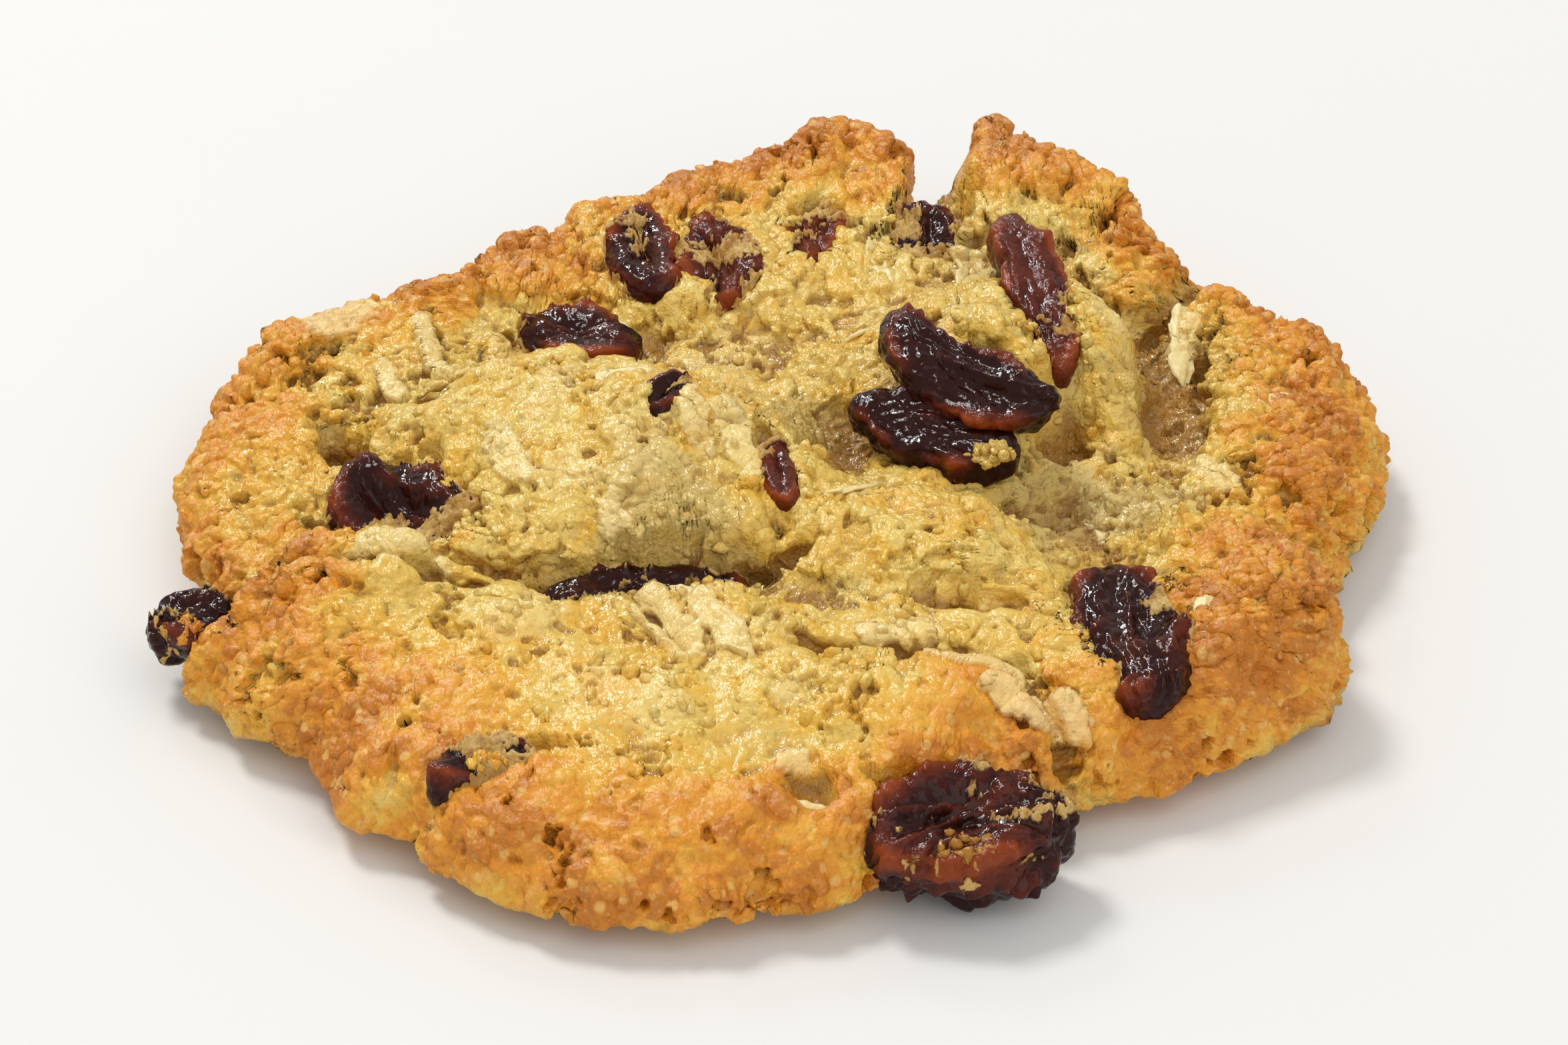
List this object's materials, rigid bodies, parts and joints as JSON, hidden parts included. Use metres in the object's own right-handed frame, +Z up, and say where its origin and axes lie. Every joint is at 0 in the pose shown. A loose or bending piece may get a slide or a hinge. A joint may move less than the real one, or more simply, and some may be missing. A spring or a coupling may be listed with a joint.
{
  "type": "oatmeal raisin cookie",
  "caption": "Round, craggy baked oatmeal cookie with golden browned edges, a cracked pale middle, oat flakes and dark raisins set in its crust. Lies flat on its underside.",
  "frame": {"origin": "middle of the bounding box at the level of the flat underside", "axes": "+Z up from the surface the cookie lies on; -Y towards the front, where the broad front raisin sits on the edge; +X to the right"},
  "size_m": [0.0846, 0.0852, 0.0158],
  "materials": {
    "dough": "rough, crumbly, browned at the edge",
    "raisin": "wrinkled, moist and glossy"
  },
  "bodies": {
    "root": {"cookie": "dough", "raisin_left_edge": "raisin", "raisin_left": "raisin", "raisin_back_tall": "raisin", "raisin_back_low": "raisin", "raisin_back_middle": "raisin", "raisin_back_round": "raisin", "raisin_notch": "raisin", "raisin_back_right": "raisin", "raisin_pair_upper": "raisin", "raisin_pair_lower": "raisin", "raisin_slit": "raisin", "raisin_mound": "raisin", "raisin_crack": "raisin", "raisin_right": "raisin", "raisin_front": "raisin", "raisin_front_left": "raisin"}
  },
  "joints": []
}
